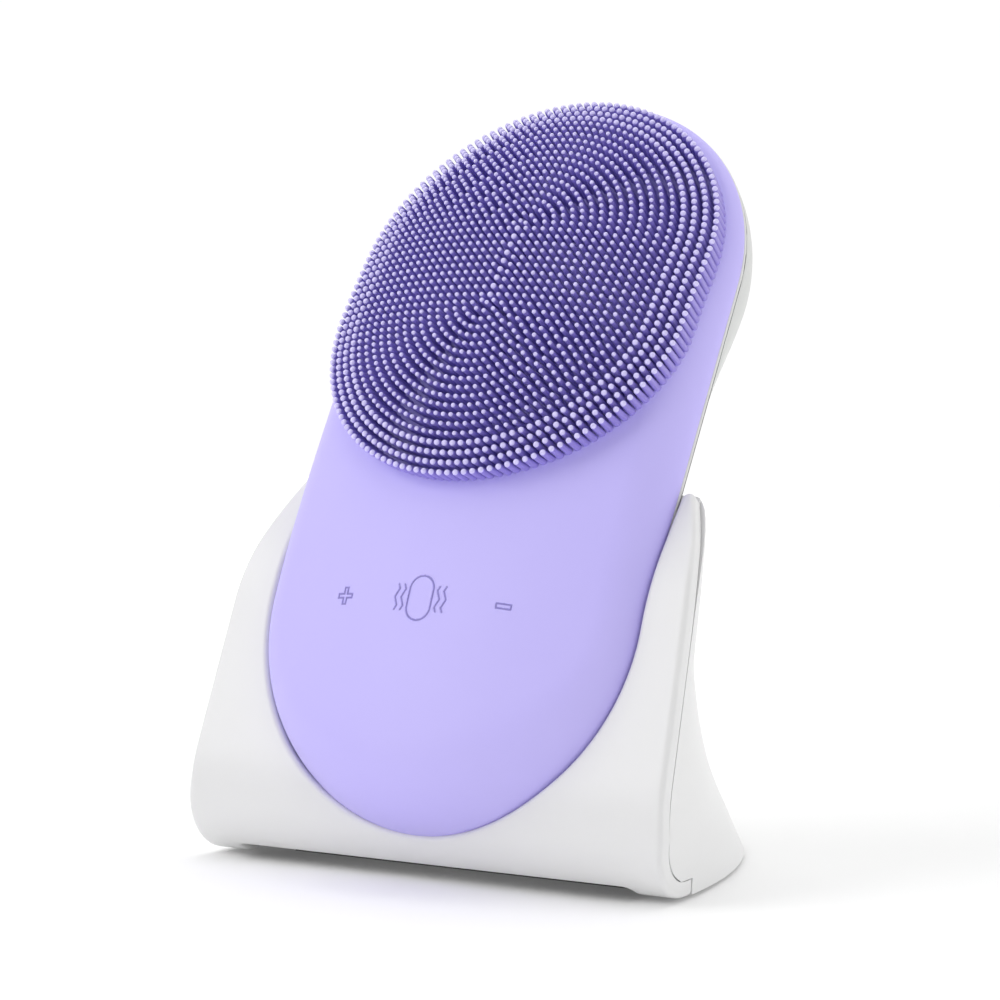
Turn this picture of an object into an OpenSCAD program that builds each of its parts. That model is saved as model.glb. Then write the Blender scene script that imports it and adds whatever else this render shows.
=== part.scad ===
// Facial cleansing brush with a cradle stand.
// The frame sits with +Z up, +X to the user's right and -Y towards the user.
// The origin is the middle of the footprint, on the surface the stand rests on.
// The handset is drawn in its own lean frame: u across, v along, n out of the bristle side.

/* [Handset body] */
// Half width of the rounded outline
body_r = 32.3; // [31.5:0.1:32.8]
// Distance of the head end's centre above the bristle field's middle
head_v = 6.5; // [5:0.5:8]
// Distance of the handle end's centre below the bristle field's middle
tail_v = 53.3; // [52:0.1:54]
// Lean of the handset's parting plane from upright
lean = 31; // [29:1:33]
// Depth of the back shell behind the parting line, in the handle
handle_depth = 7.0; // [6.8:0.1:7.4]
// Depth of the back shell behind the parting line, in the head
head_depth = 16.5; // [16:0.5:18]

/* [Silicone front] */
// Thickness of the silicone cover
skin_t = 2.0; // [1.8:0.1:2.2]
// Radius of the front's crown along the handset
crown_l = 205; // [195:5:225]
// Radius of the front's crown across the handset
crown_w = 88; // [84:1:94]
// Length of the bristles
bristle_h = 5.4; // [4.5:0.1:6]
// Half width of the bristle field
field_r = 30.5; // [29.5:0.5:31]

/* [Keys] */
// Distance of the outer keys from the middle one
key_pitch = 13.85; // [13:0.05:14.5]
// Travel of each key
key_travel = 0.35; // [0.2:0.05:0.35]

/* [Stand] */
// Greatest half width of the front panel
stand_w = 41.6; // [41:0.1:42.5]
// Thickness of the front panel
panel_t = 2.4; // [2:0.1:2.6]
// Wall of the rear shell
shell_t = 2.0; // [1.8:0.1:2.2]
// Lean of the front panel's flat face from upright
panel_lean = 21; // [20:1:22]
// Play between the handset and its pocket
play = 0.6; // [0.5:0.1:0.8]

/* [Hidden] */
$fn = 96;
skin_c = [0.74, 0.70, 0.95];
grey_c = [0.82, 0.83, 0.82];
white_c = [0.95, 0.95, 0.95];

field_y = -9;                      // the bristle field's middle, at the tips
field_z = 92.1;
apex_v = -27;                      // highest line of the crown
apex_n = -3.6;
part_n = -15.6;                    // parting plane behind the bristle tips
bend_v = -36;                      // below this the parting line bends back
bend_r = 144;
heel_r = 342;                      // how far the handle's back face bends
tray_t = 1.6;
back_w = 107;                      // radius across the handle's back
big = 120;

module H() { translate([0, field_y, field_z]) rotate([90 - lean, 0, 0]) children(); }

// ---------- outlines and surfaces of the handset, in (u, v, n) ----------
module outline2(r) {
  translate([0, head_v]) circle(r = r);
  translate([0, -tail_v]) circle(r = r);
  translate([-r, -tail_v]) square([2 * r, head_v + tail_v]);
}
module outline(r, n0, n1) { translate([0, 0, n0]) linear_extrude(height = n1 - n0) outline2(r); }
module field2(r) {
  translate([0, 6.4]) circle(r = r);
  translate([0, -6.4]) circle(r = r);
  translate([-r, -6.4]) square([2 * r, 12.8]);
}
// everything under the crowned front, set in by off
module crown(off) {
  translate([0, apex_v, apex_n - crown_l]) rotate([0, 90, 0])
    rotate_extrude($fn = 180) intersection() {
      translate([crown_l - crown_w, 0]) circle(r = crown_w - off, $fn = 180);
      translate([crown_l - 65, -42]) square([80, 84]);
    }
}
// everything behind the parting surface, moved back by d
module behind(d) {
  union() {
    translate([-big / 2, bend_v, part_n - d - 90]) cube([big, 100, 90]);
    translate([0, bend_v, part_n - d - bend_r]) rotate([0, 90, 0])
      cylinder(r = bend_r, h = big, center = true, $fn = 180);
  }
}
// the same, with a back face that is hollowed towards the middle of the handle
module behind_cup(d) {
  translate([0, bend_v, part_n - heel_r]) rotate([0, 90, 0]) rotate_extrude($fn = 180) cup2(d);
  translate([0, bend_v, part_n - heel_r]) rotate([-90, -90, 0]) linear_extrude(height = 90) cup2(d);
}
module cup2(d) {
  difference() {
    translate([heel_r - 60, -45]) square([80, 90]);
    translate([heel_r - d + back_w, 0]) circle(r = back_w, $fn = 180);
    translate([heel_r - d + 8, -50]) square([30, 100]);
  }
}
module cap(off, offr) {
  difference() {
    intersection() { outline(body_r - offr, -45, 4); crown(off); }
    behind(0);
  }
}
function crown_n(u, v) = apex_n - (crown_l - sqrt(crown_l * crown_l - (v - apex_v) * (v - apex_v)))
  - (crown_w - sqrt(crown_w * crown_w - u * u));
function back_at(v) = part_n - handle_depth - heel_r + sqrt(heel_r * heel_r - (v - bend_v) * (v - bend_v));
key_v = -54.6;
key_u = [-key_pitch, 0, key_pitch];
board_n = -15.2;

module front_skin() {
  color(skin_c) H() difference() {
    union() {
      cap(0, 0);
      intersection() {
        translate([0, 0, -30]) linear_extrude(height = 40) field2(field_r);
        translate([0, 0, bristle_h]) crown(0);
        difference() { outline(body_r - 0.5, -45, 10); behind(-1); }
      }
    }
    difference() {
      intersection() { outline(body_r - skin_t, -60, 4); crown(skin_t); }
    }
  }
}

// rigid carrier under the silicone, with the key holes and the posts for the board
module front_frame() {
  color("whitesmoke") H() difference() {
    union() {
      difference() {
        cap(skin_t + 0.05, skin_t + 0.05);
        intersection() { outline(body_r - 3.9, -60, 4); crown(3.7); }
      }
      intersection() {
        union() {
          for (p = post_at) translate([p[0], p[1], board_n + 1.2]) cylinder(r = 2.4, h = 12);
          for (s = [-1, 1]) translate([s * 11.5, 5, -16.4]) cylinder(r = 2.4, h = 12);
        }
        crown(3);
      }
    }
    for (u = key_u) translate([u, key_v, -25]) cylinder(r = 4.9, h = 24);
    for (p = post_at) translate([p[0], p[1], board_n]) cylinder(r = 0.8, h = p[2] + 0.2);
    for (s = [-1, 1]) translate([s * 11.5, 5, -17]) cylinder(r = 0.8, h = 5.5);
  }
}
// where the board is screwed down, and how far each screw reaches
post_at = [[-16.5, -38.5, 4.6], [16.5, -38.5, 4.6], [-15, -66, 2.9], [15, -66, 2.9]];

module trim_ring() {
  color("gainsboro") H() difference() {
    intersection() { outline(body_r + 0.15, -45, -10); behind(0.02); }
    behind(0.85);
    outline(body_r - 2.2, -60, 0);
  }
}

// plain back of the handle with the round bulge behind the head
module back_solid(o) {
  union() {
    difference() {
      intersection() { outline(body_r - o, -60, 0); behind(o == 0 ? 0.9 : -2); }
      behind_cup(handle_depth - o);
    }
    translate([0, head_v, 0]) rotate_extrude($fn = 120) intersection() {
      union() {
        translate([0, part_n - head_depth + 9]) square([body_r - o, head_depth + (o == 0 ? -9.9 : -7)]);
        intersection() {
          translate([body_r - 9 - o, part_n - head_depth + 9]) circle(r = 9, $fn = 96);
          translate([0, part_n - head_depth + o]) square([body_r, 20]);
        }
        translate([0, part_n - head_depth + o]) square([body_r - 9 - o, 14]);
      }
      translate([0, -60]) square([body_r, 60]);
    }
  }
}
module back_shell() {
  color(grey_c) H() difference() {
    back_solid(0);
    back_solid(1.8);
  }
}

module board_outline() {
  translate([-19, -68.5]) square([38, 34]);
}
module main_board() {
  color("darkgreen") H() difference() {
    translate([0, 0, board_n]) linear_extrude(height = 1.2) board_outline();
    for (p = post_at) translate([p[0], p[1], board_n - 1]) cylinder(r = 1.0, h = 4);
  }
}
module screw(l, r) {
  translate([0, 0, -1.1]) cylinder(r = 1.7, h = 1.1);
  cylinder(r = r, h = l);
}
module board_screws() {
  color("silver") H() for (p = post_at) translate([p[0], p[1], board_n]) screw(p[2], 0.78);
}
module tact(i) {
  color("dimgray") H() translate([key_u[i], key_v, board_n + 1.2]) {
    translate([-3, -3, 0]) cube([6, 6, 1.0]);
    cylinder(r = 1.7, h = 1.5);
  }
}
module plus_switch() { tact(0); }
module power_switch() { tact(1); }
module minus_switch() { tact(2); }
// plunger between the silicone and the switch
module key(i) {
  top = (i == 1 ? crown_n(0, key_v - 4.5) : crown_n(abs(key_u[i]) + 3.4, key_v - 3.0)) - skin_t - 0.35;
  low = board_n + 2.7 + key_travel + 0.03;
  color("white") H() translate([key_u[i], key_v, low]) cylinder(r = 4.5, h = top - low);
}
module plus_key() { key(0); }
module power_key() { key(1); }
module minus_key() { key(2); }

module battery_cell() {
  color("royalblue") H() translate([0, -44, -17.9]) {
    cube([28, 27, 3.4], center = true);
    translate([0, 14.5, 0]) cube([22, 2, 2.2], center = true);
  }
}
motor_n = -22.6;
module along_v(v0) { translate([0, v0, motor_n]) rotate([-90, 0, 0]) children(); }
module motor_can() {
  color("silver") H() difference() {
    union() {
      along_v(-8) cylinder(r = 6.0, h = 20);
      along_v(12) cylinder(r = 2.2, h = 1.2);
    }
    along_v(-4) cylinder(r = 1.05, h = 20);
  }
}
module motor_shaft() { color("dimgray") H() along_v(-3) cylinder(r = 1.0, h = 25); }
module eccentric_weight() {
  color("goldenrod") H() along_v(14) difference() {
    intersection() {
      cylinder(r = 5.6, h = 7);
      translate([-6, -2, -1]) cube([12, 8, 9]);
    }
    translate([0, 0, -1]) cylinder(r = 0.99, h = 9);
  }
}
// saddle that holds the motor to the carrier
module motor_clamp() {
  color("white") H() difference() {
    union() {
      translate([-8.2, 0, motor_n - 7.3]) cube([16.4, 10, 13.5]);
      translate([-15, 0, -18.4]) cube([30, 10, 1.9]);
    }
    along_v(-1) cylinder(r = 6.02, h = 12);
    translate([-5, -1, -17.9]) cube([10, 12, 4]);
    for (s = [-1, 1]) translate([s * 11.5, 5, -30]) cylinder(r = 1.0, h = 20);
  }
}
module clamp_screws() {
  color("silver") H() for (s = [-1, 1]) translate([s * 11.5, 5, -18.45]) screw(6.5, 0.78);
}
// flat coil at the tail of the handle, on the inside of the back shell
coil_v = -70;
coil_tilt = 5.7;
module coil_at(lift) {
  H() translate([0, coil_v, back_at(coil_v) + lift]) rotate([coil_tilt, 0, 0]) children();
}
module flat_coil(r) { difference() { cylinder(r = r, h = 1); translate([0, 0, -1]) cylinder(r = r * 0.45, h = 3); } }
module receiver_coil() { color("peru") coil_at(2.5) flat_coil(10); }
module receiver_ferrite() { color("darkslategray") coil_at(3.55) cylinder(r = 11, h = 0.6); }

// ---------- stand ----------
// walk along arcs and straights: each step is [length of straight, radius, turn in degrees]
function step_pts(p, h, s) = s[2] == 0
  ? [[p[0] + s[0] * sin(h), p[1] + s[0] * cos(h)]]
  : [for (i = [1 : 8]) let (a = h + s[2] * i / 8)
      [p[0] + s[1] * (cos(h) - cos(a)) * 1, p[1] + s[1] * (sin(a) - sin(h))]];
function walk(p, h, steps, i = 0) = i >= len(steps) ? []
  : let (q = step_pts(p, h, steps[i]))
    concat(q, walk(q[len(q) - 1], h + steps[i][2], steps, i + 1));
foot_z = 0.6;                      // underside of the stand's skirt
roll_r = 8.2;
roll_y = -25.8;
// front face of the panel in (y, z): rolled foot, flat face, top leaning further back
function face_line(o) = concat([[roll_y, foot_z + o]], walk([roll_y, foot_z + o], -90, [
  [0, roll_r - o, 90], [0, 26 - o, panel_lean], [23, 0, 0], [0, 36 - o, 40 - panel_lean], [16, 0, 0]]));
module extrude_x(w) { translate([-w, 0, 0]) rotate([90, 0, 90]) linear_extrude(height = 2 * w) children(); }
module panel_band() {
  f = face_line(0);
  b = face_line(panel_t);
  polygon(concat([[-23, foot_z]], f, [for (i = [len(b) - 1 : -1 : 0]) b[i]], [[-23, foot_z + panel_t]]));
}
// half width of the stand at height z
function half_w(z) = stand_w - 0.06 * abs(z - 10) - 7.2 * pow(max(0, (z - 38) / 24.4), 2.4);
module front_outline(o) {
  zs = [for (i = [0 : 32]) i * 2];
  polygon(concat([for (z = zs) [half_w(z) - o, z]], [for (i = [32 : -1 : 0]) [-half_w(zs[i]) + o, zs[i]]]));
}
module extrude_y(y0, y1) { translate([0, y1, 0]) rotate([90, 0, 0]) linear_extrude(height = y1 - y0) children(); }
module pocket(o) { H() outline(body_r + play + o, -70, 40); }
// everything above the cradle's upper edge
top_v = -27.5;
module above_cradle(d) { H() translate([-big, top_v - d, -big]) cube([2 * big, 2 * big, 2 * big]); }

module front_panel() {
  color(white_c) difference() {
    intersection() {
      extrude_x(60) panel_band();
      extrude_y(-60, 60) front_outline(0);
    }
    pocket(0);
    translate([-35, -60, -5]) cube([70, 90, 5 + foot_z + 1.4]);
  }
}

// bowl behind the panel that the handset's back lies in
module cradle_tray() {
  color(white_c) difference() {
    intersection() {
      H() outline(body_r + play + tray_t, -48, 10);
      H() difference() { behind(-30); behind_cup(handle_depth + play + tray_t); }
      behind_face(panel_t + 0.1);
    }
    H() difference() { outline(body_r + play, -60, 40); behind_cup(handle_depth + play); }
    above_cradle(0);
  }
}
// the space behind the panel's face, set back by o
module behind_face(o) {
  f = face_line(o);
  extrude_x(60) polygon(concat([[60, -2], [roll_y, -2]], f, [[60, f[len(f) - 1][1]]]));
}

// rear shell: each level is half an ellipse behind the panel
function back_y(z) = z < 34 ? 36 - 1.24 * z - 5.2 * pow(sin(180 * z / 34), 2) * 0.2
  : -6.16 + 0.012 * pow(z - 34, 2) + 0.12 * (z - 34);
function face_y(z) = z < 9 ? -34
  : z < 18.3 ? -34 + 26 - sqrt(676 - (z - 9) * (z - 9))
  : z < 39.8 ? -32.27 + (z - 18.3) * tan(panel_lean)
  : z < 50 ? -24.0 + 36 * cos(21) - sqrt(1296 - pow(z - 39.8 + 36 * sin(21), 2))
  : -18 + (z - 50) * tan(40);
levels = [0.6, 3, 6, 9, 13, 18, 24, 30, 36, 42, 48, 54, 60];
nlv = len(levels);
nseg = 28;
function level_pts(z, o) = let (w = half_w(z) - 0.1 - o, y0 = face_y(z) + panel_t / cos(panel_lean) + 0.05,
    b = back_y(z) - o - y0)
  concat([for (i = [0 : nseg]) let (a = 180 * i / nseg) [w * cos(a), y0 + b * sin(a), z]],
         [[-w, y0 - 14, z], [w, y0 - 14, z]]);
module loft(rings) {
  m = len(rings[0]);
  k = len(rings);
  polyhedron(points = [for (r = rings) for (p = r) p],
    faces = concat(
      [[for (j = [0 : m - 1]) j]],
      [for (i = [0 : k - 2]) for (j = [0 : m - 1]) let (a = i * m + j, b = i * m + (j + 1) % m)
        [b, a, a + m]],
      [for (i = [0 : k - 2]) for (j = [0 : m - 1]) let (a = i * m + j, b = i * m + (j + 1) % m)
        [b, a + m, b + m]],
      [[for (j = [m - 1 : -1 : 0]) (k - 1) * m + j]]));
}
module shell_loft(o, z0, z1) {
  loft([for (i = [0 : nlv - 1]) [for (p = level_pts(levels[i], o)) [p[0], p[1],
    i == 0 ? z0 : i == nlv - 1 ? z1 : p[2]]]]);
}
module rear_shell() {
  color(white_c) difference() {
    intersection() {
      shell_loft(0, foot_z, 60);
      behind_face(panel_t + 0.05);
    }
    intersection() {
      shell_loft(shell_t, -1, 61);
      behind_face(-5);
    }
    H() difference() { outline(body_r + play + tray_t + 0.05, -60, 40); behind_cup(handle_depth + play + tray_t + 0.05); }
    above_cradle(0);
    translate([-60, -60, -5]) cube([120, 37.15, 5 + foot_z + panel_t + 0.1]);
    translate([0, 0, 4.85]) rounded_slot(4.7, 1.9, 15, 50);
  }
  // posts for the base screws
  color(white_c) difference() {
    intersection() {
      for (p = screw_at) translate([p[0], p[1], 4.05]) cylinder(r = 2.4, h = 30);
      shell_loft(shell_t - 0.6, -1, 61);
      H() behind_cup(handle_depth + play + tray_t + 0.5);
    }
    for (p = screw_at) translate([p[0], p[1], 0]) cylinder(r = 1.08, h = 6.9);
  }
}

// ---------- base of the stand ----------
module footprint(o) {
  y0 = -31;
  b = 32 - o - y0;
  w = 41 - o;
  polygon(concat([for (i = [0 : 48]) let (a = 180 * i / 48) [w * cos(a), y0 + b * sin(a)]]));
}
screw_at = [[-31, -8], [31, -8], [-17, 17.5], [17, 17.5]];
pin_at = [[-10, 4], [10, 4]];
module base_plate() {
  color(white_c) difference() {
    union() {
      intersection() {
        translate([0, 0, 0.8]) linear_extrude(height = 1.8) footprint(2.6);
        translate([-60, -22.9, 0]) cube([120, 90, 9]);
      }
      for (p = screw_at) translate([p[0], p[1], 1]) cylinder(r = 2.6, h = 3);
      for (p = pin_at) translate([p[0], p[1], 2]) cylinder(r = 2.0, h = 1.55);
      for (p = pin_at) translate([p[0], p[1], 2]) cylinder(r = 1.0, h = 3.1);
    }
    pad_shape(-0.1, 1.5);
    for (p = screw_at) translate([p[0], p[1], -1]) cylinder(r = 1.1, h = 8);
    for (p = screw_at) translate([p[0], p[1], 0]) cylinder(r = 2.0, h = 1.9);
  }
}
// one non-slip pad that carries the stand
module pad_shape(o, h) {
  intersection() {
    linear_extrude(height = h) footprint(10 + o);
    translate([-60, -21 + o, -1]) cube([120, 90, 9]);
  }
}
module rubber_pad() { color("gray") pad_shape(0, 1.4); }
module ballast_plate() {
  color("slategray") translate([-22, -22, 2.65]) cube([44, 20, 4]);
}
module charging_coil() { color("peru") coil_at(-play - tray_t - 1.4) flat_coil(10); }
module charging_ferrite() { color("darkslategray") coil_at(-play - tray_t - 2.05) cylinder(r = 11, h = 0.6); }
module stand_board() {
  color("darkgreen") difference() {
    translate([-13, 0.5, 3.6]) cube([26, 21.5, 1.2]);
    for (p = pin_at) translate([p[0], p[1], 3]) cylinder(r = 1.1, h = 3);
  }
  color("darkgreen") for (s = [-1, 1]) translate([s * 8, 10, 5.3]) cube([5, 5, 1.4], center = true);
}
module usb_socket() {
  color("silver") translate([0, 0, 4.85]) difference() {
    rounded_slot(4.4, 1.65, 18.2, 25.7);
    rounded_slot(4.1, 1.35, 20, 26.4);
  }
  color("black") translate([-3.2, 19.8, 6.15]) cube([6.4, 4.4, 0.7]);
}
module rounded_slot(hw, r, y0, y1) {
  translate([0, 0, 1.65]) rotate([-90, 0, 0]) translate([0, 0, y0]) linear_extrude(height = y1 - y0) {
    for (s = [-1, 1]) translate([s * (hw - r), 0]) circle(r = r);
    square([2 * (hw - r), 2 * r], center = true);
  }
}
module base_screws() {
  color("silver") for (p = screw_at) translate([p[0], p[1], 1.85]) {
    translate([0, 0, -0.8]) cylinder(r = 1.9, h = 0.8);
    cylinder(r = 1.05, h = 4.5);
  }
}

front_skin();
front_frame();
trim_ring();
back_shell();
main_board();
board_screws();
plus_switch();
power_switch();
minus_switch();
plus_key();
power_key();
minus_key();
battery_cell();
motor_can();
motor_shaft();
eccentric_weight();
motor_clamp();
clamp_screws();
receiver_coil();
receiver_ferrite();
front_panel();
cradle_tray();
rear_shell();
base_plate();
rubber_pad();
ballast_plate();
charging_coil();
charging_ferrite();
stand_board();
usb_socket();
base_screws();
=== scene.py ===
# Facial cleansing brush in its cradle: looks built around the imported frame.
import math
import bmesh
import bpy
import numpy as np
from mathutils import Matrix, Vector
from mathutils.geometry import delaunay_2d_cdt


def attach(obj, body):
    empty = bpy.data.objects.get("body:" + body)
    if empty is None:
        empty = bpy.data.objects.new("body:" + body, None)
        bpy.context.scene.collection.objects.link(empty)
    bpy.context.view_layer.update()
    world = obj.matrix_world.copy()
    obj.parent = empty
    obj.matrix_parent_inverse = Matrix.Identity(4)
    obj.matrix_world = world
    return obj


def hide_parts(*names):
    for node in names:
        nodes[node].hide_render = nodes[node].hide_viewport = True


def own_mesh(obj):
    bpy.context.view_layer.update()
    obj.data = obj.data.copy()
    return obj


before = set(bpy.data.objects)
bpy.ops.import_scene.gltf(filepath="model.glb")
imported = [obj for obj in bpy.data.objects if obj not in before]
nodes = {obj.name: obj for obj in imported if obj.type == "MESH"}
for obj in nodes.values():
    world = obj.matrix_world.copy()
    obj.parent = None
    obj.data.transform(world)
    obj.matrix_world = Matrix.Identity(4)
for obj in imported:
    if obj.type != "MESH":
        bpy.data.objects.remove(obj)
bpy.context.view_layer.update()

MM = 0.001
scene = bpy.context.scene
scene.view_settings.view_transform = "Standard"
scene.view_settings.look = "None"

# ------------------------------------------------------------------ frame of the handset
LEAN = math.radians(31.0)
SL, CL = math.sin(LEAN), math.cos(LEAN)
FIELD = np.array([0.0, -9.0, 92.1])          # middle of the bristle field, at the tips
VV = np.array([0.0, SL, CL])                 # along the handset, towards the head


def H(uvn):
    """Handset coordinates (u, v, n) in mm to the row frame in mm."""
    a = np.atleast_2d(np.asarray(uvn, float))
    return np.c_[a[:, 0], FIELD[1] + a[:, 1] * SL - a[:, 2] * CL, FIELD[2] + a[:, 1] * CL + a[:, 2] * SL]


def Hdir(d):
    d = np.atleast_2d(np.asarray(d, float))
    w = np.c_[d[:, 0], d[:, 1] * SL - d[:, 2] * CL, d[:, 1] * CL + d[:, 2] * SL]
    return w / np.linalg.norm(w, axis=1)[:, None]


R = 32.1                                      # half width of the outline
V1, V2 = 4.9, -53.3                           # middles of its two round ends
APEX_V, APEX_N = -27.0, -3.6
CROWN_L, CROWN_W = 205.0, 88.0
PART_N, BEND_V, BEND_R, HEEL_R, BACK_W = -15.6, -36.0, 144.0, 342.0, 107.0


def seg_dist(u, v):
    """Distance from the outline's middle line."""
    dv = np.where(v > V1, v - V1, np.where(v < V2, v - V2, 0.0))
    return np.hypot(u, dv)


def part_at(v):
    v = np.asarray(v, float)
    return np.where(v > BEND_V, PART_N, PART_N - BEND_R + np.sqrt(BEND_R**2 - np.minimum(v - BEND_V, 0.0) ** 2))


def crown_at(u, v):
    r = CROWN_L - CROWN_W + np.sqrt(CROWN_W**2 - u**2)
    head = np.clip((v - 12.0) / 26.0, 0.0, 1.0) ** 2
    return APEX_N - CROWN_L + np.sqrt(r**2 - (v - APEX_V) ** 2) - 1.0 * head


def roll_radius(u, v):
    """Radius of the soft edge where the front turns down to the side."""
    d = seg_dist(u, v)
    s = R / np.maximum(d, 1e-6)
    dv = np.where(v > V1, v - V1, np.where(v < V2, v - V2, 0.0))
    ue = u * s
    ve = v - dv + dv * s
    th = crown_at(np.clip(ue, -R, R), ve) - part_at(ve)
    return np.clip(0.95 * th, 0.9, 9.5)


def skin_at(u, v):
    u = np.asarray(u, float)
    v = np.asarray(v, float)
    edge = R - seg_dist(u, v)
    rr = roll_radius(u, v)
    t = np.clip(1.0 - edge / rr, 0.0, 1.0)
    return crown_at(u, v) - rr * (1.0 - np.sqrt(np.maximum(1.0 - t**2.1, 0.0)))


# ------------------------------------------------------------------ mesh helpers
def make_object(name, verts_mm, faces, smooth=True, normals=None):
    me = bpy.data.meshes.new(name)
    me.from_pydata([tuple(p) for p in (np.asarray(verts_mm) * MM)], [], [tuple(f) for f in faces])
    me.update()
    if smooth:
        me.shade_smooth()
    ob = bpy.data.objects.new(name, me)
    scene.collection.objects.link(ob)
    if normals is not None:
        me.normals_split_custom_set_from_vertices([tuple(n) for n in normals])
    return ob


def ring_faces(a, b, closed=True, flip=False):
    """Quads between two index rings of equal length."""
    n = len(a)
    out = []
    for j in range(n if closed else n - 1):
        k = (j + 1) % n
        q = (a[j], a[k], b[k], b[j])
        out.append(q[::-1] if flip else q)
    return out


def stadium_ring(rho, count_arc, count_side, v1=V1, v2=V2):
    a = np.linspace(0, math.pi, count_arc, endpoint=False)
    s = np.linspace(0, 1, count_side, endpoint=False)
    top = np.c_[rho * np.cos(a), v1 + rho * np.sin(a)]
    left = np.c_[np.full(count_side, -rho), v1 + (v2 - v1) * s]
    bot = np.c_[-rho * np.cos(a), v2 - rho * np.sin(a)]
    right = np.c_[np.full(count_side, rho), v2 + (v1 - v2) * s]
    return np.r_[top, left, bot, right]


# ------------------------------------------------------------------ materials
def new_mat(name):
    m = bpy.data.materials.new(name)
    m.use_nodes = True
    nt = m.node_tree
    bsdf = nt.nodes["Principled BSDF"]
    return m, nt, bsdf


def tex_coord(nt):
    return nt.nodes.new("ShaderNodeTexCoord").outputs["Object"]


def noise(nt, co, scale, detail=3.0, rough=0.5):
    n = nt.nodes.new("ShaderNodeTexNoise")
    n.inputs["Scale"].default_value = scale
    n.inputs["Detail"].default_value = detail
    n.inputs["Roughness"].default_value = rough
    nt.links.new(co, n.inputs["Vector"])
    return n.outputs["Fac"]


def ramp(nt, fac, stops):
    r = nt.nodes.new("ShaderNodeValToRGB")
    while len(r.color_ramp.elements) < len(stops):
        r.color_ramp.elements.new(0.5)
    for e, (p, c) in zip(r.color_ramp.elements, stops):
        e.position = p
        e.color = (*c, 1.0)
    nt.links.new(fac, r.inputs["Fac"])
    return r.outputs["Color"]


def bump(nt, bsdf, fac, strength, dist):
    b = nt.nodes.new("ShaderNodeBump")
    b.inputs["Strength"].default_value = strength
    b.inputs["Distance"].default_value = dist
    nt.links.new(fac, b.inputs["Height"])
    nt.links.new(b.outputs["Normal"], bsdf.inputs["Normal"])
    return b


def map_range(nt, fac, a, b):
    m = nt.nodes.new("ShaderNodeMapRange")
    m.inputs["To Min"].default_value = a
    m.inputs["To Max"].default_value = b
    nt.links.new(fac, m.inputs["Value"])
    return m.outputs["Result"]


def plastic(name, lo, hi, rough=(0.3, 0.4), grain=2600.0, grain_d=0.00002, spec=0.5, coat=0.0, sss=0.0, sss_r=(1, 1, 1)):
    """Moulded plastic: slight tone drift, fine spark texture, roughness that varies a little."""
    m, nt, bsdf = new_mat(name)
    co = tex_coord(nt)
    big = noise(nt, co, 28.0, 4.0)
    nt.links.new(ramp(nt, big, [(0.25, lo), (0.75, hi)]), bsdf.inputs["Base Color"])
    fine = noise(nt, co, grain, 2.0)
    nt.links.new(map_range(nt, noise(nt, co, 220.0, 3.0), rough[0], rough[1]), bsdf.inputs["Roughness"])
    bump(nt, bsdf, fine, 0.35, grain_d)
    bsdf.inputs["Specular IOR Level"].default_value = spec
    if coat:
        bsdf.inputs["Coat Weight"].default_value = coat
        bsdf.inputs["Coat Roughness"].default_value = 0.12
    if sss:
        bsdf.inputs["Subsurface Weight"].default_value = sss
        bsdf.inputs["Subsurface Scale"].default_value = 0.004
        bsdf.inputs["Subsurface Radius"].default_value = sss_r
    return m


M_SKIN = plastic("lilac_silicone", (0.555, 0.495, 0.975), (0.585, 0.525, 0.995), rough=(0.46, 0.56), grain=3800.0,
                 grain_d=0.000012, spec=0.42)
# bristle shafts: the lilac silicone painted darker, painted shade between the close-set bristles
M_BRISTLE_SHADE = plastic("lilac_bristles_painted_shade", (0.31, 0.255, 0.68), (0.34, 0.28, 0.71), rough=(0.30, 0.38), grain=5200.0,
                    grain_d=0.000006, spec=0.6)
# bristle tips: the lilac silicone painted lighter, a painted highlight on each rounded tip
M_TIP_HIGHLIGHT = plastic("lilac_tips_painted_highlight", (0.66, 0.61, 0.97), (0.70, 0.65, 0.99), rough=(0.24, 0.32), grain=5200.0,
                grain_d=0.000006, spec=0.8)
# icon grooves: the lilac silicone painted darker, painted shade in the engraved lines
M_GROOVE_SHADE = plastic("lilac_groove_painted_shade", (0.36, 0.32, 0.68), (0.39, 0.35, 0.72), rough=(0.5, 0.6), grain=3800.0,
                 grain_d=0.000006, spec=0.3)
M_GREY = plastic("shell_grey", (0.60, 0.615, 0.60), (0.63, 0.64, 0.625), rough=(0.30, 0.38), spec=0.5)
M_TRIM = plastic("trim_white", (0.74, 0.74, 0.73), (0.77, 0.77, 0.76), rough=(0.25, 0.32), spec=0.5)
M_WHITE = plastic("stand_white", (0.80, 0.80, 0.80), (0.825, 0.825, 0.825), rough=(0.30, 0.38), spec=0.45)
M_BASE = plastic("base_white", (0.62, 0.62, 0.62), (0.66, 0.66, 0.66), rough=(0.5, 0.6), grain=1500.0, grain_d=0.00004)
M_INNER = plastic("inner_plastic", (0.70, 0.70, 0.69), (0.74, 0.74, 0.73), rough=(0.4, 0.5))
M_FOOT = plastic("foot_rubber", (0.10, 0.10, 0.105), (0.13, 0.13, 0.135), rough=(0.7, 0.8), grain=1800.0, grain_d=0.00005)
M_DARK = plastic("dark_plastic", (0.02, 0.02, 0.022), (0.035, 0.035, 0.037), rough=(0.4, 0.5))
M_PCB = plastic("circuit_board", (0.012, 0.10, 0.04), (0.02, 0.13, 0.055), rough=(0.3, 0.4))


def metal(name, col, col2, rough):
    m, nt, bsdf = new_mat(name)
    co = tex_coord(nt)
    n1 = noise(nt, co, 90.0, 4.0)
    nt.links.new(ramp(nt, n1, [(0.3, col), (0.7, col2)]), bsdf.inputs["Base Color"])
    nt.links.new(map_range(nt, noise(nt, co, 900.0, 2.0), rough[0], rough[1]), bsdf.inputs["Roughness"])
    bsdf.inputs["Metallic"].default_value = 1.0
    return m


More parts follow.
